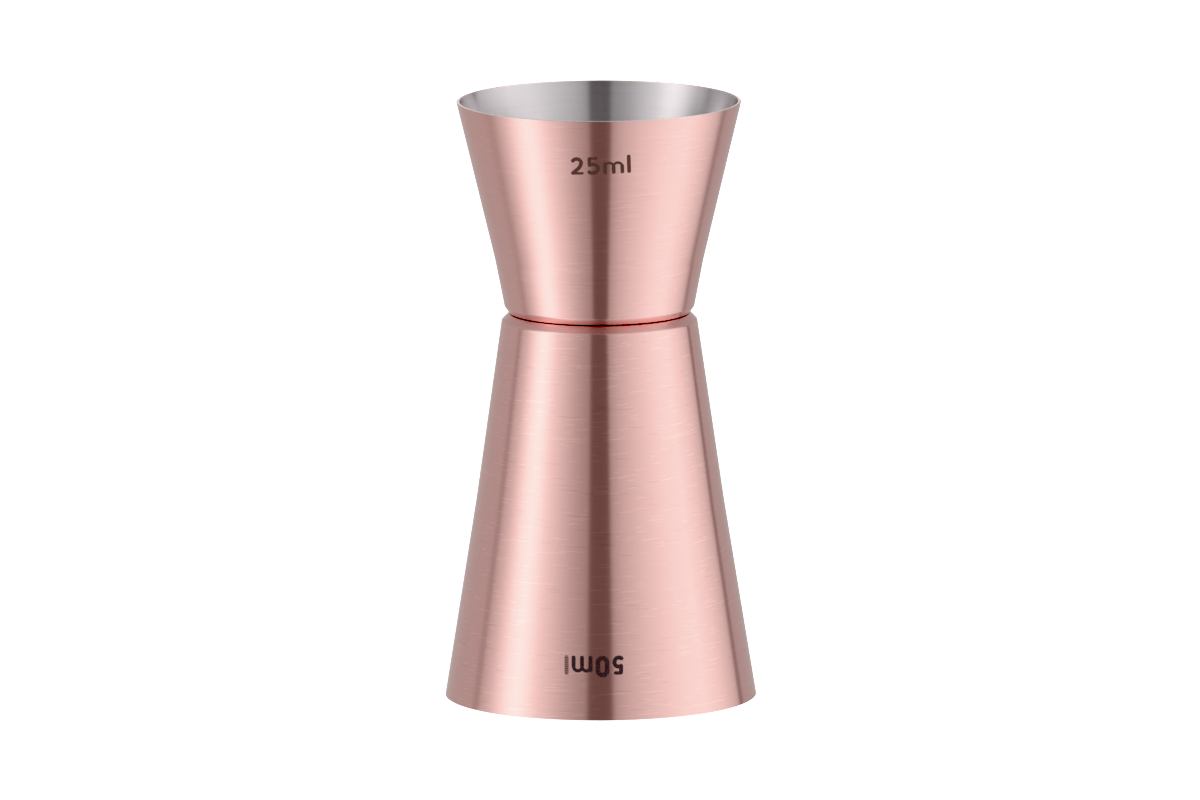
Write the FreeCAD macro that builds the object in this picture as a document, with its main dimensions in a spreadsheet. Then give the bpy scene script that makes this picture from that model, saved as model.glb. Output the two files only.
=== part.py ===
import FreeCAD, Part
import math
import os
import Sketcher

# A double-ended bar jigger.  A small drawn cup stands on the closed end of a larger cup that
# is turned upside down, and three small welds hold the two closed ends together.  Both cups
# are stainless steel, bare inside, with a copper layer outside.  The capacity of each cup is
# burnt through its copper, so the letters are flush dark solids set into the copper.
# Units are millimetres.  +Z is up, the origin is the middle of the lower rim's plane, and the
# letters face -Y.

V = FreeCAD.Vector

SIZES = [
    ("small_rim_radius", 20.15, "mouth of the small cup, over the copper"),
    ("small_heel_radius", 13.45, "where the small cup's wall ends, above its chamfer"),
    ("small_foot_radius", 12.8, "flat closed end of the small cup"),
    ("small_chamfer_height", 0.95, "height of the chamfer between foot and wall"),
    ("small_middle_radius", 14.75, "where the small cup's wall begins to flare more"),
    ("small_middle_height", 7.6, "height of that place above the closed end"),
    ("small_height", 30.1, "closed end to mouth of the small cup"),
    ("small_foot_round", 0.3, "soft edge on both corners of the chamfer"),
    ("large_rim_radius", 22.05, "mouth of the large cup, over the copper"),
    ("large_heel_radius", 13.85, "where the large cup's wall ends, beside its chamfer"),
    ("large_foot_radius", 12.8, "flat closed end of the large cup"),
    ("large_chamfer_height", 1.05, "height of the chamfer between flat end and wall"),
    ("large_middle_radius", 17.55, "where the large cup's wall begins to flare more"),
    ("large_middle_height", 26.8, "distance of that place from the closed end"),
    ("large_height", 54.8, "closed end to mouth of the large cup"),
    ("large_foot_round", 0.4, "soft edge on both corners of the chamfer"),
    ("steel_wall", 0.4, "thickness of the steel"),
    ("copper_layer", 0.08, "thickness of the copper"),
    ("floor_round", 0.6, "inside corner between floor and wall"),
    ("rim_round", 0.1, "both edges of the bare steel rim"),
    ("bare_rim", 0.1, "steel left bare below the plane of each mouth"),
    ("copper_lap", 0.8, "how far the copper runs in over the edge of each closed end"),
    ("joint_gap", 0.06, "open slit between the copper of the two closed ends"),
    ("weld_count", 3, "welds, evenly spaced"),
    ("weld_circle", 7.0, "radius of the circle of welds"),
    ("weld_radius", 1.8, "radius of one weld"),
    ("weld_depth", 0.12, "how deep each weld runs into each closed end"),
    ("dent_radius", 2.3, "dent that the welding tip leaves on each floor"),
    ("dent_depth", 0.06, "depth of that dent"),
    ("small_mark_drop", 7.75, "mouth of the small cup to the foot of its letters"),
    ("small_mark_shift", 0.3, "middle of the small cup's letters, right of the axis"),
    ("small_mark_tilt", 1.75, "degrees by which the small cup's line of letters climbs"),
    ("large_mark_rise", 9.05, "mouth of the large cup to the foot of its letters"),
    ("large_mark_shift", -0.93, "middle of the large cup's letters, right of the axis"),
    ("small_figure_height", 2.6, "figures of the small cup's mark"),
    ("large_figure_height", 2.65, "figure five of the large cup's mark"),
    ("large_zero_height", 3.0, "figure nought of the large cup's mark"),
    ("figure_width", 1.84, "figures of the small cup's mark"),
    ("five_width", 1.58, "figure five of the large cup's mark"),
    ("zero_width", 1.96, "figure nought of the large cup's mark"),
    ("small_em_height", 1.85, "letter m of the small cup's mark"),
    ("large_em_height", 2.35, "letter m of the large cup's mark"),
    ("em_width", 2.95, "letter m of both marks"),
    ("ell_height", 2.7, "letter l of both marks"),
    ("small_bold_stroke", 0.53, "main strokes of the small cup's letters"),
    ("small_fine_stroke", 0.38, "light strokes of the small cup's letters"),
    ("large_bold_stroke", 0.57, "main strokes of the large cup's letters"),
    ("large_fine_stroke", 0.48, "light strokes of the large cup's letters"),
    ("nought_stroke", 0.66, "stroke of the figure nought"),
    ("letter_gap", 0.42, "space between two letters"),
]


# ---------------------------------------------------------------- sheet and small helpers

def make_sheet(doc):
    sheet = doc.addObject("Spreadsheet::Sheet", "Sizes")
    for row, (alias, value, note) in enumerate(SIZES, start=1):
        sheet.set("A%d" % row, alias)
        sheet.set("B%d" % row, str(value))
        sheet.set("C%d" % row, note)
        sheet.setAlias("B%d" % row, alias)
    doc.recompute()
    return sheet


def size(alias):
    return float(getattr(sheet, alias))


def from_sheet(text):
    """An expression in which every word that is an alias points at the sheet."""
    words = text.split(" ")
    aliases = {alias for alias, _, _ in SIZES}
    return " ".join("Sizes." + word if word in aliases else word for word in words)


def origin_feature(body, role):
    return [f for f in body.Origin.OriginFeatures if f.Role == role][0]


def make_body(label):
    body = doc.addObject("PartDesign::Body", label + "_body")
    body.Label = label
    return body


def new_sketch(body, name, plane, lift=None):
    sketch = body.newObject("Sketcher::SketchObject", name)
    sketch.AttachmentSupport = (origin_feature(body, plane), [""])
    sketch.MapMode = "FlatFace"
    if lift:
        sketch.setExpression("AttachmentOffset.Base.z", from_sheet(lift))
    return sketch


def evaluate(expression):
    """The present value of an expression in the sheet's words."""
    return float(sheet.evalExpression(from_sheet(expression)))


def is_sound(item):
    """Whether an object of the document was worked out without a fault."""
    return "Invalid" not in item.State and "Error" not in item.State


# ---------------------------------------------------------------- half-section of a cup

START, END, CENTRE = 1, 2, 3
ORIGIN = -1
X_AXIS = -1
Y_AXIS = -2


class Outline:
    """The outside of a cup: the sheet's words for the radius and height of each corner.

    The first corner is the edge of the flat end.  The wall is the last two lines, because it
    flares a little more towards the mouth.
    """

    def __init__(self, corner_round, rings):
        self.corner_round = corner_round
        self.rings = rings
        self.foot = rings[0][0]
        self.height = rings[-1][1]

    def corners(self):
        """Radius and height of each corner as numbers, from the axis out to the mouth."""
        return [V(0, 0, 0)] + [V(evaluate(radius), evaluate(height), 0)
                               for radius, height in self.rings]


SMALL = Outline("small_foot_round", [
    ("small_foot_radius", "0"),
    ("small_heel_radius", "small_chamfer_height"),
    ("small_middle_radius", "small_middle_height"),
    ("small_rim_radius", "small_height"),
])
LARGE = Outline("large_foot_round", [
    ("large_foot_radius", "0"),
    ("large_heel_radius", "large_chamfer_height"),
    ("large_middle_radius", "large_middle_height"),
    ("large_rim_radius", "large_height"),
])


def constrain(sketch, kind, *what):
    return sketch.addConstraint(Sketcher.Constraint(kind, *what))


def bind(sketch, name, expression, kind, *what):
    """Adds a named constraint whose value is worked out from the sheet."""
    index = constrain(sketch, kind, *what, evaluate(expression))
    sketch.renameConstraint(index, name)
    sketch.setExpression("Constraints." + name, from_sheet(expression))


def draw_chain(sketch, spots, construction=False):
    """Lines from spot to spot, joined end to end."""
    lines = []
    for first, last in zip(spots, spots[1:]):
        lines.append(sketch.addGeometry(Part.LineSegment(first, last), construction))
    for line, following in zip(lines, lines[1:]):
        constrain(sketch, "Coincident", line, END, following, START)
    constrain(sketch, "Horizontal", lines[0])
    return lines


def draw_frame(sketch, outline):
    """The outside of the cup as construction lines that carry the driving sizes."""
    frame = draw_chain(sketch, outline.corners(), True)
    constrain(sketch, "Coincident", ORIGIN, START, frame[0], START)
    for line, (radius, height) in zip(frame, outline.rings):
        bind(sketch, radius, radius, "DistanceX", ORIGIN, START, line, END)
        if height != "0":
            bind(sketch, height, height, "DistanceY", ORIGIN, START, line, END)
    return frame


def offset_spots(spots, depth, start, top):
    """The corners moved inwards by depth, from radius start on the flat end to height top."""
    moved = [V(start, depth, 0)]
    for before, corner, after in zip(spots, spots[1:], spots[2:]):
        incoming = (corner - before).normalize()
        outgoing = (after - corner).normalize()
        half_turn = incoming.getAngle(outgoing) / 2
        inward = V(-incoming.y - outgoing.y, incoming.x + outgoing.x, 0).normalize()
        moved.append(corner + inward * (depth / math.cos(half_turn)))
    slope = (spots[-1] - spots[-2]).normalize()
    moved.append(moved[-1] + slope * ((top - moved[-1].y) / slope.y))
    return moved


def draw_face(sketch, name, outline, frame, depth, begin, top):
    """One face of the metal: the frame moved inwards by depth, which may be 0."""
    start = evaluate(begin) if begin else 0.0
    spots = offset_spots(outline.corners(), evaluate(depth), start, evaluate(top))
    face = draw_chain(sketch, spots)
    for number, (line, guide) in enumerate(zip(face[1:], frame[1:]), start=1):
        constrain(sketch, "Parallel", line, guide)
        if depth == "0":
            constrain(sketch, "PointOnObject", guide, START, line)
        else:
            bind(sketch, "%s_depth_%d" % (name, number), depth, "Distance", guide, START, line)
    if depth == "0":
        constrain(sketch, "PointOnObject", face[0], START, X_AXIS)
    else:
        bind(sketch, name + "_depth", depth, "DistanceY", ORIGIN, START, face[0], START)
    if begin:
        bind(sketch, name + "_begin", begin, "DistanceX", ORIGIN, START, face[0], START)
    else:
        constrain(sketch, "PointOnObject", face[0], START, Y_AXIS)
    bind(sketch, name + "_top", top, "DistanceY", ORIGIN, START, face[-1], END)
    return face


def draw_section(sketch, outline, depths, begin, top):
    """The half-section between two depths below the outside of a cup.

    begin is the radius where it starts on the flat end, or None for the axis, and top is the
    height where it stops.  Returns the lines of its outer and inner faces.
    """
    frame = draw_frame(sketch, outline)
    outer = draw_face(sketch, "outer", outline, frame, depths[0], begin, top)
    inner = draw_face(sketch, "inner", outline, frame, depths[1], begin, top)
    for one, other, place in ((outer[0], inner[0], START), (outer[-1], inner[-1], END)):
        bridge = sketch.addGeometry(Part.LineSegment(sketch.getPoint(one, place),
                                                     sketch.getPoint(other, place)))
        constrain(sketch, "Coincident", one, place, bridge, START)
        constrain(sketch, "Coincident", other, place, bridge, END)
    return outer, inner


# ---------------------------------------------------------------- features shared by the cups

def revolve(body, sketch, name):
    turn = body.newObject("PartDesign::Revolution", name)
    turn.Profile = sketch
    turn.ReferenceAxis = (sketch, ["V_Axis"])
    turn.Angle = 360
    sketch.Visibility = False
    doc.recompute()
    return turn


def lower_corners(sketch, face):
    """Radius and height of a face's corners below its wall, which is the last two lines."""
    return [sketch.getPoint(line, END) for line in face[:-2]]


def round_rings(body, name, spots, radius):
    """Fillets the rings of the body that pass through the given (radius, height) spots."""
    base = body.Tip
    chosen = []
    for number, edge in enumerate(base.Shape.Edges, start=1):
        if not isinstance(edge.Curve, Part.Circle):
            continue
        ring = V(edge.Curve.Radius, edge.Curve.Center.z, 0)
        if any(ring.isEqual(V(spot.x, spot.y, 0), 1e-4) for spot in spots):
            chosen.append("Edge%d" % number)
    if len(chosen) != len(spots):
        raise RuntimeError("%s found %d rings, not %d" % (name, len(chosen), len(spots)))
    fillet = body.newObject("PartDesign::Fillet", name)
    fillet.Base = (base, chosen)
    fillet.setExpression("Radius", from_sheet(radius))
    doc.recompute()


def weld_circle_sketch(body, name, lift, radius):
    """The circle of the first weld, at the height called lift."""
    sketch = new_sketch(body, name, "XY_Plane", lift)
    circle = sketch.addGeometry(Part.Circle(V(size("weld_circle"), 0, 0), V(0, 0, 1),
                                            evaluate(radius)))
    constrain(sketch, "PointOnObject", circle, CENTRE, X_AXIS)
    bind(sketch, "place", "weld_circle", "DistanceX", ORIGIN, START, circle, CENTRE)
    bind(sketch, "radius", radius, "Radius", circle)
    return sketch


def round_recess(body, name, lift, radius, depth, upwards):
    """A round recess at the first weld, cut up or down from the height called lift."""
    before = body.Tip.Shape
    pocket = body.newObject("PartDesign::Pocket", name)
    pocket.Profile = weld_circle_sketch(body, name + "_circle", lift, radius)
    pocket.Type = "Length"
    pocket.Reversed = upwards
    pocket.setExpression("Length", from_sheet(depth))
    doc.recompute()
    expected = math.pi * evaluate(radius) ** 2 * evaluate(depth)
    removed = before.cut(pocket.Shape).Volume
    if abs(removed - expected) > 0.001 * expected:
        raise RuntimeError("%s removed %.4f, not %.4f" % (name, removed, expected))
    return pocket


def repeat_welds(body, features):
    ring = body.newObject("PartDesign::PolarPattern", body.Label + "_weld_ring")
    ring.Originals = features
    ring.Axis = (origin_feature(body, "Z_Axis"), [""])
    ring.Angle = 360
    ring.setExpression("Occurrences", from_sheet("weld_count"))
    body.Tip = ring
    doc.recompute()
    return ring


# ---------------------------------------------------------------- steel cups and copper skins

def make_steel_cup(label, outline):
    """The steel shell, closed end down, with its weld seats and the dents of the welding tip."""
    body = make_body(label)
    sketch = new_sketch(body, label + "_section", "XZ_Plane")
    floor_depth = "copper_layer + steel_wall"
    outer, inner = draw_section(sketch, outline, ("copper_layer", floor_depth), None,
                                outline.height)
    revolve(body, sketch, label + "_shell")
    rim = [sketch.getPoint(face[-1], END) for face in (outer, inner)]
    round_rings(body, label + "_foot_round", lower_corners(sketch, outer),
                outline.corner_round + " - copper_layer")
    round_rings(body, label + "_floor_round", lower_corners(sketch, inner), "floor_round")
    round_rings(body, label + "_rim_round", rim, "rim_round")
    seat = round_recess(body, label + "_weld_seat", "copper_layer", "weld_radius",
                        "weld_depth", True)
    dent = round_recess(body, label + "_weld_dent", floor_depth, "dent_radius",
                        "dent_depth", False)
    repeat_welds(body, [seat, dent])
    return body


def make_copper_skin(label, outline):
    """The whole copper layer of one cup, before its letters are burnt through it."""
    body = make_body(label)
    sketch = new_sketch(body, label + "_section", "XZ_Plane")
    outer, inner = draw_section(sketch, outline, ("0", "copper_layer"),
                                outline.foot + " - copper_lap",
                                outline.height + " - bare_rim")
    revolve(body, sketch, label + "_layer")
    round_rings(body, label + "_outer_round", lower_corners(sketch, outer),
                outline.corner_round)
    round_rings(body, label + "_inner_round", lower_corners(sketch, inner),
                outline.corner_round + " - copper_layer")
    return body


def stand_small(item):
    """Puts a piece of the small cup on top of the joint."""
    item.setExpression(".Placement.Base.z", from_sheet("large_height + joint_gap"))


def turn_large(item):
    """Turns a piece of the large cup mouth down, with its closed end at the joint."""
    item.Placement = FreeCAD.Placement(V(0, 0, 0), FreeCAD.Rotation(V(1, 0, 0), 180))
    item.setExpression(".Placement.Base.z", from_sheet("large_height"))


# ---------------------------------------------------------------- welds

def make_welds(label):
    """Three flat nuggets that run into both closed ends and bridge the slit between them."""
    body = make_body(label)
    nugget = body.newObject("PartDesign::Pad", label + "_nugget")
    nugget.Profile = weld_circle_sketch(body, label + "_circle", None, "weld_radius")
    nugget.setExpression(
        "Length", from_sheet("joint_gap + 2 * copper_layer + 2 * weld_depth"))
    doc.recompute()
    repeat_welds(body, [nugget])
    body.setExpression(".Placement.Base.z",
                       from_sheet("large_height - copper_layer - weld_depth"))
    return body


# ---------------------------------------------------------------- letters
# Each letter is drawn by the middle lines of its strokes, in a box from (0, 0) to (1, 1) that
# is stretched to the letter's own width and height.  Two points make a straight stroke and
# three make an arc.

TWO = {
    "bold": [[(0.03, 0.87), (0.45, 1.0), (0.92, 0.73)],
             [(0.92, 0.73), (0.82, 0.52), (0.52, 0.28)],
             [(0.52, 0.28), (0.0, 0.0)]],
    "fine": [[(0.0, -0.02), (1.0, -0.02)]],
}
FIVE = {
    "bold": [[(0.08, 0.98), (0.08, 0.55)],
             [(0.08, 0.55), (0.66, 0.57), (1.0, 0.31)],
             [(1.0, 0.31), (0.66, 0.02), (0.02, 0.05)]],
    "fine": [[(0.08, 1.02), (0.86, 1.02)]],
}
EM = {
    "bold": [[(0.0, 0.0), (0.0, 0.96)],
             [(0.5, 0.0), (0.5, 0.64)],
             [(1.0, 0.0), (1.0, 0.64)]],
    "fine": [[(0.0, 0.74), (0.28, 1.02), (0.5, 0.64)],
             [(0.5, 0.74), (0.78, 1.02), (1.0, 0.64)]],
}
ELL = {"bold": [[(0.0, 0.0), (0.0, 1.0)]]}


def straight_stroke(first, second, width):
    along = (second - first).normalize() * (width / 2)
    side = V(along.z, 0, -along.x)
    edges = [
        Part.LineSegment(first + side, second + side),
        Part.Arc(second + side, second + along, second - side),
        Part.LineSegment(second - side, first - side),
        Part.Arc(first - side, first - along, first + side),
    ]
    return Part.Face(Part.Wire([edge.toShape() for edge in edges]))


def curved_stroke(first, middle, last, width):
    path = Part.Wire([Part.Arc(first, middle, last).toShape()])
    return path.makeOffset2D(width / 2, 0, True, False, False)


def merge(faces):
    """One flat face from overlapping strokes, which all have to look the same way."""
    for face in faces:
        if face.normalAt(0, 0).y > 0:
            face.reverse()
    joined = faces[0].multiFuse(faces[1:]) if faces[1:] else faces[0]
    return joined.removeSplitter().Faces[0]


def letter_face(strokes, weights, left, wide, high):
    """One flat letter in the XZ plane, standing on z = 0 with its left edge at x = left."""
    inset = weights["bold"] / 2

    def spot(pair):
        across = left + inset + pair[0] * (wide - 2 * inset)
        return V(across, 0, inset + pair[1] * (high - 2 * inset))

    faces = []
    for weight, paths in strokes.items():
        for path in paths:
            spots = [spot(pair) for pair in path]
            if len(spots) == 2:
                faces.append(straight_stroke(spots[0], spots[1], weights[weight]))
            else:
                faces.append(curved_stroke(spots[0], spots[1], spots[2], weights[weight]))
    return merge(faces)


def nought_face(left, wide, high):
    """A ring with straight sides and half-round ends."""
    stroke = size("nought_stroke")

    def oval(margin):
        radius = wide / 2 - margin
        middle = left + wide / 2
        low = wide / 2
        top = high - wide / 2
        edges = [
            Part.Arc(V(middle - radius, 0, top), V(middle, 0, top + radius),
                     V(middle + radius, 0, top)),
            Part.LineSegment(V(middle + radius, 0, top), V(middle + radius, 0, low)),
            Part.Arc(V(middle + radius, 0, low), V(middle, 0, low - radius),
                     V(middle - radius, 0, low)),
            Part.LineSegment(V(middle - radius, 0, low), V(middle - radius, 0, top)),
        ]
        return Part.Face(Part.Wire([edge.toShape() for edge in edges]))

    return oval(0.0).cut(oval(stroke))


def line_of_letters(letters, weights):
    """Letters one after another, with the middle of the line at x = 0."""
    gap = size("letter_gap")
    total = sum(wide for _, wide, _ in letters) + gap * (len(letters) - 1)
    left = -total / 2
    faces = []
    for strokes, wide, high in letters:
        if strokes == "nought":
            faces.append(nought_face(left, wide, high))
        else:
            faces.append(letter_face(strokes, weights, left, wide, high))
        left = left + wide + gap
    return Part.Compound(faces)


def make_mark(label, skin, letters, weights, rim):
    """Letters pushed out from the axis through the front of a copper skin.

    Returns the letters where they lie in the skin, and the skin with those places open.
    """
    flat = doc.addObject("Part::Feature", label + "_flat")
    flat.Shape = line_of_letters(letters, weights)
    beam = doc.addObject("Part::Extrusion", label + "_beam")
    beam.Base = flat
    beam.DirMode = "Custom"
    beam.Dir = V(0, -1, 0)
    beam.Solid = True
    beam.setExpression("LengthFwd", from_sheet("%s + steel_wall" % rim))

    mark = doc.addObject("Part::Common", label + "_solid")
    mark.Label = label
    mark.Base = skin
    mark.Tool = beam
    copper = doc.addObject("Part::Cut", skin.Label + "_open")
    copper.Base = skin
    copper.Tool = beam
    return flat, mark, copper


def place_small_letters(flat):
    """Upright, a little right of the axis, climbing slightly to the right."""
    flat.Placement = FreeCAD.Placement(
        V(size("small_mark_shift"), 0,
          evaluate("large_height + joint_gap + small_height - small_mark_drop")),
        FreeCAD.Rotation(V(0, 1, 0), -size("small_mark_tilt")))


def place_large_letters(flat):
    """Turned half round, so that they read upright when the large cup is on top."""
    flat.Placement = FreeCAD.Placement(
        V(size("large_mark_shift"), 0, size("large_mark_rise")),
        FreeCAD.Rotation(V(0, 1, 0), 180))


# ---------------------------------------------------------------- the jigger

doc = FreeCAD.newDocument("bar_jigger")
sheet = make_sheet(doc)

small_cup = make_steel_cup("small_cup", SMALL)
large_cup = make_steel_cup("large_cup", LARGE)
small_skin = make_copper_skin("small_skin", SMALL)
large_skin = make_copper_skin("large_skin", LARGE)
for piece in (small_cup, small_skin):
    stand_small(piece)
for piece in (large_cup, large_skin):
    turn_large(piece)
weld_nuggets = make_welds("weld_nuggets")

SMALL_WEIGHTS = {"bold": size("small_bold_stroke"), "fine": size("small_fine_stroke")}
LARGE_WEIGHTS = {"bold": size("large_bold_stroke"), "fine": size("large_fine_stroke")}
SMALL_LETTERS = [
    (TWO, size("figure_width"), size("small_figure_height")),
    (FIVE, size("figure_width"), size("small_figure_height")),
    (EM, size("em_width"), size("small_em_height")),
    (ELL, SMALL_WEIGHTS["bold"], size("ell_height")),
]
LARGE_LETTERS = [
    (FIVE, size("five_width"), size("large_figure_height")),
    ("nought", size("zero_width"), size("large_zero_height")),
    (EM, size("em_width"), size("large_em_height")),
    (ELL, LARGE_WEIGHTS["bold"], size("ell_height")),
]
small_flat, small_mark, small_copper = make_mark(
    "small_cup_mark", small_skin, SMALL_LETTERS, SMALL_WEIGHTS, "small_rim_radius")
large_flat, large_mark, large_copper = make_mark(
    "large_cup_mark", large_skin, LARGE_LETTERS, LARGE_WEIGHTS, "large_rim_radius")
place_small_letters(small_flat)
place_large_letters(large_flat)
small_copper.Label = "small_cup_copper"
large_copper.Label = "large_cup_copper"
doc.recompute()

NODES = [small_cup, large_cup, small_copper, large_copper, weld_nuggets, small_mark, large_mark]

for item in doc.Objects:
    if not is_sound(item):
        raise RuntimeError("%s failed: %s" % (item.Label, item.State))
for node in NODES:
    if node.Shape.isNull() or not node.Shape.isValid():
        raise RuntimeError("%s has no valid shape" % node.Label)

os.makedirs("parts", exist_ok=True)
for node in NODES:
    node.Shape.exportStep(os.path.join("parts", node.Label + ".step"))
    print("%-18s solids %d, volume %9.2f mm3" % (node.Label, len(node.Shape.Solids),
                                                 node.Shape.Volume))
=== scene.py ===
# %% [markdown]
# # A double-ended bar jigger
# A jigger is the small measure a bartender pours spirits with.  This one is two drawn steel cups
# welded closed end to closed end: a small cup on top and a large cup, mouth down, below it.
# The outside is plated with rose copper and brushed round the axis, and the inside is bare steel.
#
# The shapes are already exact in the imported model, so the lesson is about finish and light:
# what makes a turned cone look like brushed copper and not like pink plastic.  The cups could be
# turned again here as lathe meshes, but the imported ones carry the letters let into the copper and
# the true normals of every cone and fillet, so they stay and only get their materials.

import math

import bpy
from mathutils import Matrix, Vector


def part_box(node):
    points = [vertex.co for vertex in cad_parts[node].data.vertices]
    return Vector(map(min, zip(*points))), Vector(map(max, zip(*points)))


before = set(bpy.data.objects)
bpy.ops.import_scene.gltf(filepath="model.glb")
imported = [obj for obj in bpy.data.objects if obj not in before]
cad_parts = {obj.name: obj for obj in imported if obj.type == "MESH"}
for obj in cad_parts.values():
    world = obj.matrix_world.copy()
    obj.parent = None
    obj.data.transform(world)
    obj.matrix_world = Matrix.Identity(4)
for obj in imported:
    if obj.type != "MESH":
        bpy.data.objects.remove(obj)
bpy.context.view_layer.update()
scene = bpy.context.scene
print("the frame holds %d pieces" % len(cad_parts))

# %% [markdown]
# ## The jigger's own sizes
# Everything that follows is placed from the cups themselves, so a change of a cup carries through.
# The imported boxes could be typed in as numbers, but then they would go stale; asking for them costs
# one line each.

# %% Ask the cups how big they are
large_low, large_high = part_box("large_cup")
small_low, small_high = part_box("small_cup")
whole_height = small_high.z
waist_height = (large_high.z + small_low.z) / 2
large_radius = large_high.x
small_radius = small_high.x
print("the jigger is %.2f mm tall, and its cups meet at %.2f mm"
      % (whole_height * 1000, waist_height * 1000))
print("steel mouths: %.2f mm below, %.2f mm above" % (large_radius * 2000, small_radius * 2000))

# %% [markdown]
# ## A short way to write nodes
# A finish is a small tree of nodes.  Written out one call at a time it is hard to read, so a few
# helpers do the typing: one adds a node and fills its sockets with numbers or with other nodes'
# outputs, one does a sum, and one blends two colours.  They could be node groups, but a group
# hides its sums from a reader.  A number that is the same all over a surface is set on the
# socket itself, because that is where a game engine or a viewer looks for it.

# %% Helpers that add nodes
def fill(tree, socket, value):
    """Puts a number, a colour or another node's output into a socket."""
    if isinstance(value, bpy.types.NodeSocket):
        tree.links.new(value, socket)
    else:
        socket.default_value = value


def add(tree, kind, sockets=None, **options):
    """Adds a node, sets its options, and fills its sockets by name or by number."""
    node = tree.nodes.new("ShaderNode" + kind)
    for option, choice in options.items():
        setattr(node, option, choice)
    for place, value in (sockets or {}).items():
        fill(tree, node.inputs[place], value)
    return node


def reckon(tree, operation, *values):
    """The result of a sum on up to three values."""
    sockets = dict(enumerate(values))
    return add(tree, "Math", sockets, operation=operation).outputs[0]


def split(tree, vector):
    """The three numbers of a vector."""
    return add(tree, "SeparateXYZ", {0: vector}).outputs


def own_place(tree):
    """Where a point is on the jigger, in metres from the middle of the floor under it."""
    return add(tree, "TexCoord").outputs["Object"]


def blended(tree, share, first, second):
    """The first colour where share is 0, and the second where it is 1."""
    blend = add(tree, "Mix", data_type="RGBA")
    fill(tree, blend.inputs["Factor"], share)
    fill(tree, blend.inputs[6], first)
    fill(tree, blend.inputs[7], second)
    return blend.outputs[2]


def spread(tree, value, low, high):
    """Stretches a value that runs from 0 to 1 so that it runs from low to high."""
    return reckon(tree, "MULTIPLY_ADD", value, high - low, low)


def new_finish(name):
    """An empty material: its node tree and its surface shader."""
    material = bpy.data.materials.new(name)
    material.use_nodes = True
    tree = material.node_tree
    shader = tree.nodes["Principled BSDF"]
    return material, tree, shader

# %% [markdown]
# ## Where the brush has been
# The cups are brushed while they turn, so each hair of the brush leaves a mark that runs a few
# millimetres round the cup and is only about an eighth of a millimetre high.  A stretched noise
# gives such marks, but it has to be stretched round the cup.  An unwrapped map could do that, with
# a seam down one side.  Here the noise reads the direction from the axis and the height instead,
# which closes on itself and needs no map.
#
# The brush isn't held quite level, so a pass can lean by a few degrees.  Adding a little of the
# direction to the height leans it one way at the front and the other way at the back.

# %% Coordinates that run round the axis
ROW_STEP = 17.3


def round_the_axis(tree, turns, rises, lean=0.0, lean_towards=0.0):
    """A place as the brush sees it: turns steps a radian round the cup, rises steps a metre up it.

    The radius counts as height, so that a flat floor gets rings.  A lean is in metres, and it is
    greatest a quarter turn from the direction lean_towards, in degrees.
    """
    across, along, height = split(tree, own_place(tree))
    flat = add(tree, "CombineXYZ", {0: across, 1: along}).outputs[0]
    radius = add(tree, "VectorMath", {0: flat}, operation="LENGTH").outputs["Value"]
    towards = add(tree, "VectorMath", {0: flat}, operation="NORMALIZE").outputs[0]
    angle = math.radians(lean_towards)
    leaning = Vector((math.cos(angle), math.sin(angle), 0.0)) * lean
    lifted = add(tree, "VectorMath", {0: towards, 1: leaning},
                 operation="DOT_PRODUCT").outputs["Value"]
    rise = reckon(tree, "ADD", reckon(tree, "ADD", height, radius), lifted)
    upright = add(tree, "CombineXYZ", {2: reckon(tree, "MULTIPLY", rise, rises)}).outputs[0]
    return add(tree, "VectorMath", {0: towards, 1: (turns, turns, 0.0), 2: upright},
               operation="MULTIPLY_ADD").outputs[0]


def streaks(tree, turns, rises):
    """Soft noise from 0 to 1, drawn out round the axis."""
    place = round_the_axis(tree, turns, rises)
    noise = add(tree, "TexNoise", {"Vector": place, "Scale": 1.0, "Detail": 1.0,
                                   "Roughness": 0.6})
    return noise.outputs[0]


def hairlines(tree, turns, rows, lean=0.0, lean_towards=0.0):
    """Noise from 0 to 1 in level rows, so many a metre, each with its own long and short dashes.

    Two rows read the noise ROW_STEP apart, too far for one to look like the next.
    """
    across, along, height = split(tree, round_the_axis(tree, turns, rows, lean, lean_towards))
    row = reckon(tree, "FLOOR", height)
    apart = reckon(tree, "MULTIPLY", row, ROW_STEP)
    stepped = add(tree, "CombineXYZ", {0: across, 1: along, 2: apart}).outputs[0]
    noise = add(tree, "TexNoise", {"Vector": stepped, "Scale": 1.0, "Detail": 1.0})
    return noise.outputs[0]


def picked_out(tree, pattern, start, full):
    """Keeps only the crests of a pattern: nothing below start, and all of it from full up."""
    return add(tree, "MapRange", {"Value": pattern, "From Min": start, "From Max": full},
               interpolation_type="SMOOTHSTEP").outputs[0]


def mixture(tree, start, parts):
    """Adds patterns up by weight, on top of a starting value."""
    total = start
    for pattern, weight in parts:
        total = reckon(tree, "MULTIPLY_ADD", pattern, weight, total)
    return total


print("neighbouring rows read the noise %.1f steps apart" % ROW_STEP)

# %% [markdown]
# ## Which way a turned piece faces
# A polished cup shows every flaw of its mesh at the edge of a reflection.  A packed cup is flat
# facets with blended normals, and they wander by a degree where the facets crowd round a letter.
# Finer facets would help a little.  On a turned piece, though, the true normal always points
# straight out from the axis or straight in to it, so the shader keeps only the normal's tilt and
# works out the rest.

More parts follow.
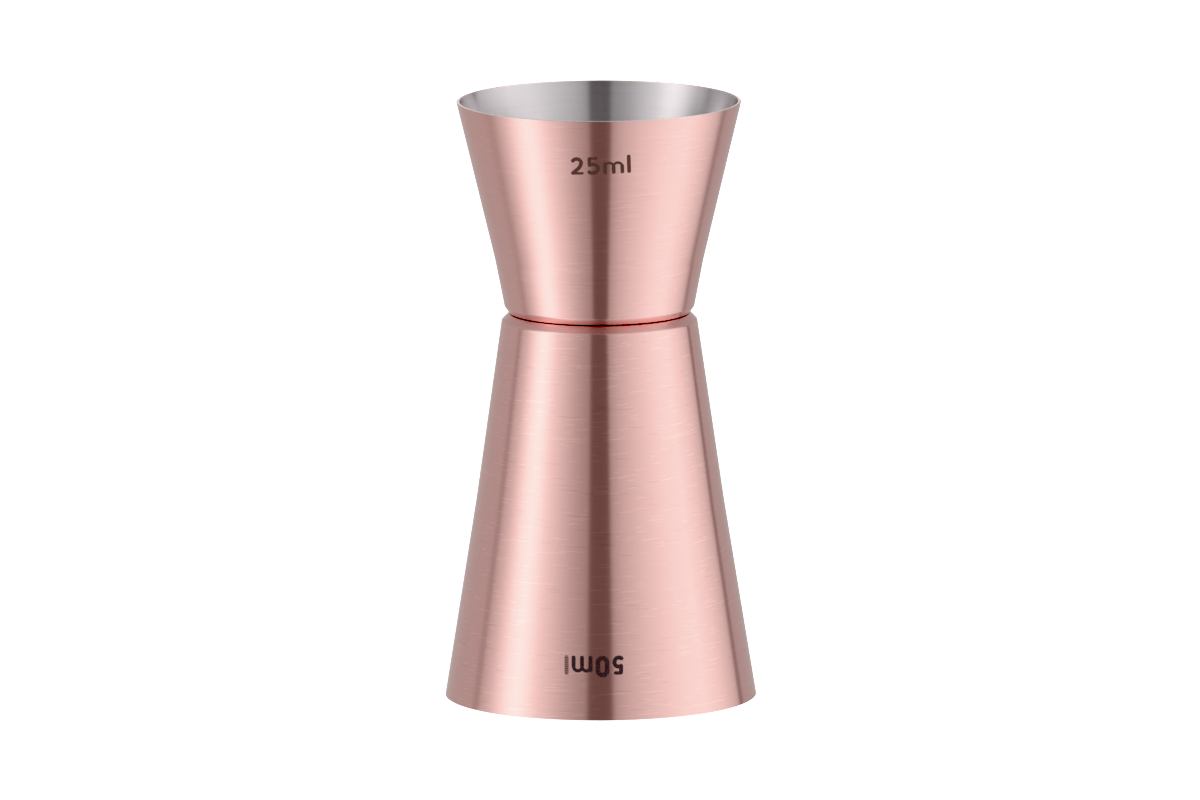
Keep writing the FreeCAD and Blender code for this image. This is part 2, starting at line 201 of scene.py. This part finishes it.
# %% The exact normal of a turned piece
def turned_normal(tree):
    """The surface's own tilt, turned to point straight away from the axis or towards it."""
    place = own_place(tree)
    outward = add(tree, "VectorMath", {0: place, 1: (1.0, 1.0, 0.0)}, operation="MULTIPLY")
    outward = add(tree, "VectorMath", {0: outward.outputs[0]}, operation="NORMALIZE").outputs[0]
    normal = add(tree, "NewGeometry").outputs["Normal"]
    tilt = split(tree, normal)[2]
    facing = add(tree, "VectorMath", {0: normal, 1: outward}, operation="DOT_PRODUCT")
    side = reckon(tree, "SIGN", facing.outputs["Value"])
    level = reckon(tree, "SQRT", reckon(tree, "SUBTRACT", 1.0, reckon(tree, "POWER", tilt, 2.0)))
    away = add(tree, "VectorMath", {0: outward, "Scale": reckon(tree, "MULTIPLY", side, level)},
               operation="SCALE").outputs[0]
    rising = add(tree, "CombineXYZ", {2: tilt}).outputs[0]
    return add(tree, "VectorMath", {0: away, 1: rising}, operation="ADD").outputs[0]

# %% [markdown]
# ## How brushed metal shines
# Under a glass, brushed metal is a bed of fine parallel grooves.  Along a groove it is nearly a
# mirror, and across the grooves it scatters light widely.  So a cup brushed round its axis shows
# its surroundings sharp from side to side, as upright stripes, and smeared from top to bottom.
# Very fine bumps could do this, but they would need thousands of samples to come clean.  The
# shader's anisotropy does it directly, once it is told which way is round the axis.
#
# Single deep hairs still show: each one throws the reflection a little sideways.  That is a small
# push of the normal round the axis, which roughens the edge of every stripe.

# %% Make a shader look brushed round the axis
QUARTER_TURN = 0.25


def brush(tree, shader, anisotropy, sideways):
    """Turns the scatter across the brushing, and lets the pattern sideways nudge the normal."""
    tangent = add(tree, "Tangent", direction_type="RADIAL", axis="Z").outputs[0]
    shader.inputs["Anisotropic"].default_value = anisotropy
    shader.inputs["Anisotropic Rotation"].default_value = QUARTER_TURN
    fill(tree, shader.inputs["Tangent"], tangent)
    normal = turned_normal(tree)
    push = add(tree, "VectorMath", {0: tangent, "Scale": sideways}, operation="SCALE").outputs[0]
    pushed = add(tree, "VectorMath", {0: normal, 1: push}, operation="ADD").outputs[0]
    fill(tree, shader.inputs["Normal"],
         add(tree, "VectorMath", {0: pushed}, operation="NORMALIZE").outputs[0])


def tinted(tree, colour, grain, depth):
    """A metal's colour, a little deeper and lighter with the grain."""
    dark = tuple(part * (1.0 - depth) for part in colour) + (1.0,)
    light = tuple(min(1.0, part * (1.0 + depth)) for part in colour) + (1.0,)
    return blended(tree, grain, dark, light)


print("the scatter is turned by %.0f degrees" % (360 * QUARTER_TURN))

# %% [markdown]
# ## Rose copper plating
# The plating is copper, a shade pinker than solid copper.  A fine brush has left it almost even,
# and what the eye finds is sparse: light dashes a millimetre or two long, a few longer ones where
# grit was caught in the brush, and now and then a dull one.  The dashes could be a painted map,
# but picking only the crests out of a noise gives them at any size of cup.  The large cup was
# brushed harder than the small one, so the strength of the marks is a choice.
#
# Each kind of mark is a line in a list: its steps a radian, its rows a metre, its lean in metres
# and where that leans to; how high a crest starts to show and is full; how much lighter it is than
# the metal round it; and how hard it pushes the reflection.

# %% The marks of the brush
HAIRS = (4.0, 8000.0)
BANDS = (0.5, 640.0)
FAINT = 0.1
EVEN_GRAIN = 0.38
CENTRED = -0.5
BRUSH_MARKS = [
    ((5.5, 8600.0, 0.0007, 200.0), (0.645, 0.72), 0.4, 0.4),
    ((2.4, 7400.0, 0.0009, 215.0), (0.67, 0.75), 0.45, 0.7),
    ((3.6, 9100.0, -0.0005, 150.0), (0.67, 0.76), -0.4, -0.7),
]


def brushing(tree):
    """How light the grain is, about 0 to 1, and how it pushes the reflection, about -0.5 to 0.5."""
    hairs = hairlines(tree, *HAIRS)
    bands = streaks(tree, *BANDS)
    lightness = [(hairs, FAINT), (bands, FAINT)]
    pushes = [(hairs, 1.0)]
    for rows, crest, lighter, harder in BRUSH_MARKS:
        mark = picked_out(tree, hairlines(tree, *rows), *crest)
        lightness.append((mark, lighter))
        pushes.append((mark, harder))
    return mixture(tree, EVEN_GRAIN, lightness), mixture(tree, CENTRED, pushes)


for rows, crest, lighter, harder in BRUSH_MARKS:
    print("marks %.2f mm high, %s than the metal round them"
          % (1000 / rows[1], "lighter" if lighter > 0 else "duller"))

# %% [markdown]
# ## The joint
# Beside the joint the two chamfers face each other across a narrow slit, and light falls off there.
# That shade is painted into the copper: both chamfers are coloured a little browner and made a
# little less metallic than the walls, and the slit between the cups is painted darker again.  It
# could be a thin ring of its own, but it has no thickness to speak of, so it is a change of
# the copper's colour with the distance from the joint.

# %% Brushed copper with painted shade beside the joint
COPPER = (0.93, 0.62, 0.59)
COPPER_ROUGHNESS = 0.2
ROUGHNESS_PLAY = 0.01
COPPER_ANISOTROPY = 0.95
COPPER_TINT = 0.085
COPPER_PUSH = 0.004
# Painted shade by the joint: a browner, less metallic copper on the chamfers, and a darker colour in
# the slit.
JOINT_SHADE_COLOUR = (0.855, 0.55, 0.53, 1.0)
JOINT_SHADE_METALLIC = 0.93
JOINT_SHADE_NEAR = 0.0007
JOINT_SHADE_FAR = 0.0013
SLIT_SHADE_COLOUR = (0.66, 0.43, 0.38, 1.0)
SLIT_SHADE_NEAR = 0.00003
SLIT_SHADE_FAR = 0.00013


def beside_the_joint(tree, near, far):
    """1 from the joint to the near distance, sinking to 0 at the far one."""
    height = split(tree, own_place(tree))[2]
    away = reckon(tree, "ABSOLUTE", reckon(tree, "SUBTRACT", height, waist_height))
    return add(tree, "MapRange", {0: away, 1: near, 2: far, 3: 1.0, 4: 0.0},
               interpolation_type="SMOOTHSTEP").outputs[0]


def copper_plating(name, strength):
    """Brushed rose copper, whose brush marks are as strong as asked, with painted shade by the joint.
    """
    material, tree, shader = new_finish(name)
    grain, push = brushing(tree)
    # Painted shade: the copper darkens and loses some metal near the joint, and darkens again in the
    # slit.
    painted_shade = beside_the_joint(tree, JOINT_SHADE_NEAR, JOINT_SHADE_FAR)
    painted_slit_shade = beside_the_joint(tree, SLIT_SHADE_NEAR, SLIT_SHADE_FAR)
    metal = tinted(tree, COPPER, grain, COPPER_TINT * strength)
    fill(tree, shader.inputs["Base Color"],
         blended(tree, painted_slit_shade, blended(tree, painted_shade, metal, JOINT_SHADE_COLOUR), SLIT_SHADE_COLOUR))
    fill(tree, shader.inputs["Metallic"], spread(tree, painted_shade, 1.0, JOINT_SHADE_METALLIC))
    fill(tree, shader.inputs["Roughness"],
         spread(tree, grain, COPPER_ROUGHNESS + ROUGHNESS_PLAY, COPPER_ROUGHNESS - ROUGHNESS_PLAY))
    brush(tree, shader, COPPER_ANISOTROPY,
          reckon(tree, "MULTIPLY", push, COPPER_PUSH * strength))
    return material


print("paste reaches %.1f mm from the joint" % (JOINT_SHADE_FAR * 1000))

# %% [markdown]
# ## Bare steel
# Inside, the cups are as they left the drawing press and the lathe: stainless steel with a fine
# satin turned finish, greyer and a little duller than the copper.  The same steel shows as a thin
# lip where the copper stops short of the mouth.  The lip catches a bright, warm highlight, and it
# is painted: the lip is coloured warmer and brighter than the inside.  It could be a separate
# ring, but it is one piece with the cup, so the finish changes by height instead.

# %% Turned steel
STEEL = (0.735, 0.70, 0.712)
STEEL_ROUGHNESS = (0.19, 0.23)
STEEL_ANISOTROPY = 0.94
STEEL_TINT = 0.05
STEEL_PUSH = 0.02
STEEL_LINES = (1.2, 7000.0)
STEEL_BANDS = (0.4, 800.0)
STEEL_EVEN = -0.3
# Painted highlight: the lip is coloured warmer and brighter than the steel inside.
LIP_HIGHLIGHT = (0.90, 0.78, 0.72, 1.0)
LIP_HIGHLIGHT_DEPTH = 0.00012


def turned_steel(name, mouth):
    """Satin steel with a painted highlight on the lip at the height called mouth."""
    material, tree, shader = new_finish(name)
    lines = hairlines(tree, *STEEL_LINES)
    bands = streaks(tree, *STEEL_BANDS)
    grain = mixture(tree, STEEL_EVEN, [(lines, 1.0), (bands, 0.6)])
    height = split(tree, own_place(tree))[2]
    depth = reckon(tree, "ABSOLUTE", reckon(tree, "SUBTRACT", height, mouth))
    # Painted highlight: the band at the mouth takes the warmer, brighter lip colour.
    lip = reckon(tree, "LESS_THAN", depth, LIP_HIGHLIGHT_DEPTH)
    satin = tinted(tree, STEEL, grain, STEEL_TINT)
    fill(tree, shader.inputs["Base Color"], blended(tree, lip, satin, LIP_HIGHLIGHT))
    shader.inputs["Metallic"].default_value = 1.0
    fill(tree, shader.inputs["Roughness"], spread(tree, grain, *STEEL_ROUGHNESS))
    push = mixture(tree, CENTRED, [(lines, 1.0)])
    brush(tree, shader, STEEL_ANISOTROPY, reckon(tree, "MULTIPLY", push, STEEL_PUSH))
    return material


print("the lip is polished to %.2f mm below the mouth" % (LIP_HIGHLIGHT_DEPTH * 1000))

# %% [markdown]
# ## Burnt marks
# The capacity of each cup is burnt through the plating with a marking laser.  It leaves a dark,
# nearly matt oxide, slate grey here and brown there as the oxide is thicker or thinner.  The beam
# sweeps in level lines, about three to a millimetre.  They overlap in most letters, but the last
# letter on the large cup was burnt out of focus, and copper still shows between its lines.  A
# painted map could hold all this, but a wave up the cup and a soft noise give it at any size.

# %% Dark oxide with the laser's lines
SMALL_OXIDE = [(0.17, 0.108, 0.098, 1.0), (0.13, 0.108, 0.104, 1.0)]
LARGE_OXIDE = [(0.15, 0.112, 0.11, 1.0), (0.115, 0.112, 0.118, 1.0)]
OXIDE_METALLIC = 0.35
OXIDE_ROUGHNESS = (0.4, 0.65)
BARE_BETWEEN = (0.40, 0.25, 0.235, 1.0)
LASER_LINES = 3300.0
LINE_HEIGHT = 0.00002
OXIDE_PATCHES = {"Scale": 900.0, "Detail": 3.0}
FAINT_LETTER = 0.0008

faint_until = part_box("large_cup_mark")[0].x + FAINT_LETTER
print("the faint letter ends at x = %.2f mm" % (faint_until * 1000))


def burnt_oxide(name, tones, faint_until):
    """Oxide of two tones, whose letters further left than faint_until are only hatched."""
    material, tree, shader = new_finish(name)
    place = own_place(tree)
    across, along, height = split(tree, place)
    turn = reckon(tree, "MULTIPLY", height, LASER_LINES * math.tau)
    lines = reckon(tree, "MULTIPLY_ADD", reckon(tree, "SINE", turn), 0.5, 0.5)
    patches = add(tree, "TexNoise", {"Vector": place, **OXIDE_PATCHES}).outputs[0]
    oxide = blended(tree, patches, *tones)
    faint = reckon(tree, "LESS_THAN", across, faint_until)
    gaps = reckon(tree, "MULTIPLY", lines, faint)
    fill(tree, shader.inputs["Base Color"], blended(tree, gaps, oxide, BARE_BETWEEN))
    shader.inputs["Metallic"].default_value = OXIDE_METALLIC
    fill(tree, shader.inputs["Roughness"], spread(tree, patches, *OXIDE_ROUGHNESS))
    bump = add(tree, "Bump", {"Strength": 0.4, "Distance": LINE_HEIGHT, "Height": lines})
    fill(tree, shader.inputs["Normal"], bump.outputs[0])
    return material

# %% [markdown]
# ## Weld metal
# Three resistance welds hold the closed ends together.  They are hidden between the cups, but the
# part can be taken apart on a screen, so they get their own finish: steel that has been hot, grey
# with straw brown patches.  One plain grey would do for a hidden piece, but a noise costs little.

# %% Heat-tinted weld steel
WELD_GREY = (0.42, 0.41, 0.40, 1.0)
WELD_STRAW = (0.45, 0.33, 0.20, 1.0)
WELD_ROUGHNESS = (0.35, 0.6)
WELD_PATCHES = {"Scale": 700.0, "Detail": 4.0}


def weld_steel(name):
    """Steel that has been hot, in patches of grey and straw."""
    material, tree, shader = new_finish(name)
    heat = add(tree, "TexNoise", {"Vector": own_place(tree), **WELD_PATCHES}).outputs[0]
    fill(tree, shader.inputs["Base Color"], blended(tree, heat, WELD_GREY, WELD_STRAW))
    shader.inputs["Metallic"].default_value = 1.0
    fill(tree, shader.inputs["Roughness"], spread(tree, heat, *WELD_ROUGHNESS))
    return material


weld_low, weld_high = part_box("weld_nuggets")
print("the welds are %.2f mm thick" % ((weld_high.z - weld_low.z) * 1000))

# %% [markdown]
# ## Dress the cups
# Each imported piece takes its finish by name.  One finish for all the metal would be simpler, but
# the large cup is brushed harder than the small one and their marks were burnt differently.  The
# pieces already ride on the one body of this object, because nothing in a jigger moves.

# %% Give every piece its finish
FINISHES = {
    "small_cup": turned_steel("small_cup_steel", whole_height),
    "large_cup": turned_steel("large_cup_steel", 0.0),
    "small_cup_copper": copper_plating("small_cup_plating", 0.7),
    "large_cup_copper": copper_plating("large_cup_plating", 1.0),
    "small_cup_mark": burnt_oxide("small_mark_oxide", SMALL_OXIDE, -small_radius),
    "large_cup_mark": burnt_oxide("large_mark_oxide", LARGE_OXIDE, faint_until),
    "weld_nuggets": weld_steel("heat_tinted_weld"),
}
for node_name, finish in FINISHES.items():
    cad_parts[node_name].material_slots[0].material = finish
    print("%-18s wears %s" % (node_name, finish.name))

# %% [markdown]
# ## The light tent
# Polished and brushed metal has no look of its own: it shows what stands round it.  A jigger is
# shown off in a tent of white cloth, lit from both sides, with a slot left open in front for the
# lens.  The slot is the dark stripe down the middle of the cups, the two lit sides are the bright
# stripes, and the sewn edges of the cloth are the two thin dark lines near the outline.  Right
# behind the jigger the cloth is bright again, and that shows at the very edge of the cups.
#
# Panels of mesh could be stood up and lit one by one.  Cups brushed round the axis smear
# everything from top to bottom, though, so mostly the compass direction counts, and one strip of
# brightness round the horizon gives every stripe at once.  Directions are in degrees to the right
# of the lens, and brightness is that of the cloth.  A colour ramp holds it, as shares of BRIGHTEST,
# because a ramp is made for values up to 1.

# %% Brightness of the cloth all round
TENT = [
    (-180, 0.85), (-173, 0.7), (-167, 0.53), (-140, 0.535), (-112, 0.55), (-109.2, 0.47),
    (-104.7, 0.47), (-102, 0.62), (-92, 0.79), (-84, 1.0), (-76, 1.24), (-67, 1.35),
    (-60, 1.25), (-50, 0.98), (-27, 0.63), (-18, 0.52), (-10.4, 0.46), (-9.2, 0.26),
    (9.1, 0.26), (10.2, 0.52), (21, 0.69), (36, 0.84), (67, 1.10), (85, 1.15), (103, 0.97),
    (117, 0.79), (123.9, 0.67), (125.5, 0.35), (130.2, 0.35), (131.4, 0.52), (173, 0.51),
    (180, 0.85),
]
BRIGHTEST = 1.4
SLOT_LEAN = 0.045


def walls(tree, across, along, height):
    """The brightness of the cloth by compass direction, leaning a little with height."""
    compass = reckon(tree, "ARCTAN2", across, reckon(tree, "MULTIPLY", along, -1.0))
    leaning = reckon(tree, "MULTIPLY_ADD", height, SLOT_LEAN, compass)
    share = reckon(tree, "MULTIPLY_ADD", leaning, 1 / math.tau, 0.5)
    strip = add(tree, "ValToRGB", {0: share})
    ramp = strip.color_ramp
    for direction, brightness in TENT[1:-1]:
        ramp.elements.new((direction + 180) / 360)
    for stop, (direction, brightness) in zip(ramp.elements, TENT):
        stop.position = (direction + 180) / 360
        stop.color = (brightness / BRIGHTEST,) * 3 + (1.0,)
    return reckon(tree, "MULTIPLY", strip.outputs[0], BRIGHTEST)


print("the tent has %d places where its brightness is set" % len(TENT))

# %% [markdown]
# ## The roof of the tent
# The chamfers at the joint face upwards, so they show the roof.  The slot runs on over it, a dark
# strip from front to back between two paler sides.  A plain roof would be simpler, but it would
# cut the dark stripe in two at the joint.  Widths are shares of the distance up to the roof.

# %% Roof, walls and backdrop
SLOT_HALF = 0.08
SIDES_FULL = 0.4
OVERHEAD_SLOT = 0.35
OVERHEAD_SIDES = 0.69
OVERHEAD_FROM = math.radians(38)
OVERHEAD_FULL = math.radians(62)
BACKDROP = 2.0


def tent_light(tree):
    """The brightness of the tent in each direction."""
    across, along, up = split(tree, add(tree, "TexCoord").outputs["Generated"])
    height = reckon(tree, "ARCSINE", up)
    cloth = walls(tree, across, along, height)
    overhead = add(tree, "MapRange", {0: height, 1: OVERHEAD_FROM, 2: OVERHEAD_FULL},
                   interpolation_type="SMOOTHSTEP").outputs[0]
    roof = add(tree, "MapRange", {0: reckon(tree, "ABSOLUTE", across), 1: SLOT_HALF,
                                  2: SIDES_FULL, 3: OVERHEAD_SLOT, 4: OVERHEAD_SIDES}).outputs[0]
    return add(tree, "Mix", {0: overhead, 2: cloth, 3: roof}).outputs[0]


def hang_tent():
    """The world: the tent for every reflection, and plain white behind the jigger."""
    world = bpy.data.worlds.new("light_tent")
    world.use_nodes = True
    tree = world.node_tree
    tree.nodes.clear()
    tent = add(tree, "Background", {"Color": tent_light(tree), "Strength": 1.0}).outputs[0]
    white = {"Color": (1.0, 1.0, 1.0, 1.0), "Strength": BACKDROP}
    plain = add(tree, "Background", white).outputs[0]
    seen = add(tree, "LightPath").outputs["Is Camera Ray"]
    both = add(tree, "MixShader", {0: seen, 1: tent, 2: plain}).outputs[0]
    add(tree, "OutputWorld", {"Surface": both})
    scene.world = world


hang_tent()
print("the roof takes over from the walls between %.0f and %.0f degrees up"
      % (math.degrees(OVERHEAD_FROM), math.degrees(OVERHEAD_FULL)))

# %% [markdown]
# ## The floor
# The tent's cloth runs on under the jigger as a plain white sweep, and glows a little, because
# light comes through it.  The upper cup flares, so it looks down at this floor, and a flat white
# floor would wipe out its stripes.  In the tent the floor cloth shows the same slot and lit sides
# as the walls do, so the floor is left out of reflections and the cups see the tent below the
# horizon instead.

# %% Lay the floor
FLOOR_HALF = 3.0
CLOTH = (0.95, 0.95, 0.95)
CLOTH_GLOW = 1.2

floor_mesh = bpy.data.meshes.new("floor")
corners = [(-1, -1), (1, -1), (1, 1), (-1, 1)]
floor_mesh.from_pydata([(x * FLOOR_HALF, y * FLOOR_HALF, 0.0) for x, y in corners], [],
                       [(0, 1, 2, 3)])
floor = bpy.data.objects.new("floor", floor_mesh)
scene.collection.objects.link(floor)

cloth_material, cloth_tree, cloth_shader = new_finish("white_cloth")
cloth_weave = add(cloth_tree, "TexNoise", {"Scale": 40.0, "Detail": 2.0}).outputs[0]
fill(cloth_tree, cloth_shader.inputs["Base Color"],
     tinted(cloth_tree, CLOTH, cloth_weave, 0.004))
cloth_shader.inputs["Roughness"].default_value = 1.0
cloth_shader.inputs["Emission Color"].default_value = (1.0, 1.0, 1.0, 1.0)
cloth_shader.inputs["Emission Strength"].default_value = CLOTH_GLOW
cloth_shader.inputs["Specular IOR Level"].default_value = 0.0
floor_mesh.materials.append(cloth_material)
floor.visible_glossy = False
print("the floor is %.0f m square" % (2 * FLOOR_HALF))

# %% [markdown]
# ## The camera
# The lens is long and stands three metres away, half a metre above the floor, so that the outline
# stays straight and the eye still looks into the small cup.  A short lens close by would show more
# of the inside, but it would spread the mouths apart.  The lens is a fifth of a degree off level.

# %% Stand the camera
CAMERA_DISTANCE = 3.0
CAMERA_HEIGHT = 0.528
LENS = 644.8
LENS_LEAN = math.radians(-0.2)
AIM_RIGHT = 0.00003
AIM_DROP = 0.0003

camera_data = bpy.data.cameras.new("camera")
camera_data.lens = LENS
camera_data.sensor_width = 36.0
camera_data.clip_start = 0.1
camera_data.clip_end = 20.0
camera = bpy.data.objects.new("camera", camera_data)
scene.collection.objects.link(camera)
eye = Vector((0.0, -CAMERA_DISTANCE, CAMERA_HEIGHT))
aim = Vector((AIM_RIGHT, 0.0, whole_height / 2 - AIM_DROP))
facing = (aim - eye).to_track_quat("-Z", "Y").to_matrix().to_4x4()
camera.matrix_world = Matrix.Translation(eye) @ facing @ Matrix.Rotation(LENS_LEAN, 4, "Z")
scene.camera = camera
print("the lens looks down by %.1f degrees"
      % math.degrees(math.atan2(CAMERA_HEIGHT - aim.z, CAMERA_DISTANCE)))

# %% [markdown]
# ## Developing the view
# The same metal under the same tent can come out soft or crisp.  Goods on show look best crisp:
# the black point is raised, so that the slot's reflection goes deep and the copper gets its rich
# colour there, and the lightest stripes roll off gently instead of clipping.  The tent could be
# given more contrast, but then the steel would turn harsh before the copper was deep.  A curve on
# the view does it for everything at once and leaves the finishes alone.

# %% Set black, white and the curve between them
BLACK_POINT = 0.11
WHITE_POINT = 1.7
CURVE = [(0.0, 0.0), (0.5, 0.893), (0.58, 0.955), (0.7, 0.985), (1.0, 1.0)]


def develop(mapping):
    """Sets black, white and the curve between them."""
    mapping.black_level = (BLACK_POINT,) * 3
    mapping.white_level = (WHITE_POINT,) * 3
    points = mapping.curves[3].points
    for place, value in CURVE[1:-1]:
        points.new(place, value)
    for point, (place, value) in zip(points, CURVE):
        point.location = (place, value)
        point.handle_type = "VECTOR"
    mapping.update()


scene.view_settings.view_transform = "Standard"
scene.view_settings.use_curve_mapping = True
develop(scene.view_settings.curve_mapping)
print("black sits at %.2f and white at %.2f" % (BLACK_POINT, WHITE_POINT))
